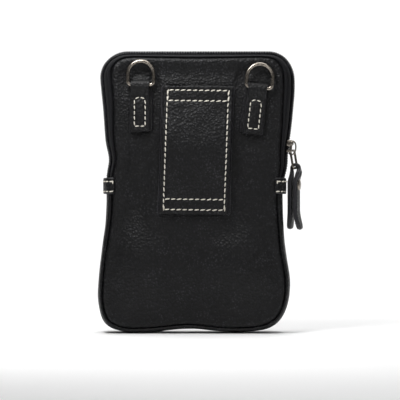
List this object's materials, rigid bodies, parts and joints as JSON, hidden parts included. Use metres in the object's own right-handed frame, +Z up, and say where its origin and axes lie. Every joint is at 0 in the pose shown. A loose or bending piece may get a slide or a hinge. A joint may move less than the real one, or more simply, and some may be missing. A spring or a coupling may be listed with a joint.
{
  "type": "zip-around belt pouch",
  "caption": "Slim upright belt pouch in black leather with a zip-around mouth, a belt loop and two D-rings on its back, and a leather zip pull.",
  "frame": {"origin": "middle of the flat base that the pouch stands on", "axes": "+Z up from the base to the top of the zip, -Y out of the back with the belt loop, +X to the right seen from the back"},
  "size_m": [0.1304, 0.0377, 0.18],
  "materials": {
    "black_leather": "soft grained, semi-matt",
    "cut_edge": "painted cut edge, satin",
    "lining_cloth": "plain woven, matt",
    "zip_tape": "herringbone woven, matt",
    "zip_coil": "nylon coil, satin",
    "sewing_thread": "waxed polyester thread",
    "nickel_plate": "nickel plated, polished"
  },
  "bodies": {
    "pouch": {"back_panel": "black_leather", "back_lining": "lining_cloth", "front_panel_lower": "black_leather", "front_lining_lower": "lining_cloth", "gusset": "black_leather", "gusset_lining": "lining_cloth", "zip_tape_back": "zip_tape", "zip_coil_back": "zip_coil", "zip_end_tab_left": "black_leather", "zip_end_tab_right": "black_leather", "zip_end_thread_left": "sewing_thread", "zip_end_thread_right": "sewing_thread", "belt_loop": "black_leather", "belt_loop_backing": "black_leather", "belt_loop_thread": "sewing_thread", "ring_strap_left": "black_leather", "ring_strap_right": "black_leather", "ring_strap_thread_left": "sewing_thread", "ring_strap_thread_right": "sewing_thread"},
    "mouth_flap": {"front_panel_upper": "black_leather", "front_lining_upper": "lining_cloth", "zip_tape_front": "zip_tape", "zip_coil_front": "zip_coil"},
    "slider": {"zip_slider": "nickel_plate"},
    "link": {"pull_link": "nickel_plate"},
    "pull": {"pull_strap": "black_leather", "pull_rivet": "nickel_plate"},
    "ring_left": {"d_ring_left": "nickel_plate"},
    "ring_right": {"d_ring_right": "nickel_plate"}
  },
  "joints": [
    {"name": "mouth_fold", "type": "hinge", "parent": "pouch", "child": "mouth_flap", "pos_m": [0, 0.0135, 0.0994], "axis": [-1, 0, 0], "range_deg": [0, 55]},
    {"name": "zip_run", "type": "slide", "parent": "pouch", "child": "slider", "axis": [0.0885, 0, 0.9961], "range_m": [-0.012, 0.027]},
    {"name": "link_swing", "type": "hinge", "parent": "slider", "child": "link", "pos_m": [0.06165, 0, 0.11634], "axis": [0, -1, 0], "range_deg": [0, 100]},
    {"name": "pull_swing", "type": "hinge", "parent": "link", "child": "pull", "pos_m": [0.06353, 0, 0.10509], "axis": [0, -1, 0], "range_deg": [0, 70]},
    {"name": "ring_swing_left", "type": "hinge", "parent": "pouch", "child": "ring_left", "pos_m": [-0.03545, -0.0167, 0.1575], "axis": [1, 0, 0], "range_deg": [0, 165]},
    {"name": "ring_swing_right", "type": "hinge", "parent": "pouch", "child": "ring_right", "pos_m": [0.03907, -0.0167, 0.15569], "axis": [0.9936, 0, -0.1132], "range_deg": [0, 165]}
  ]
}
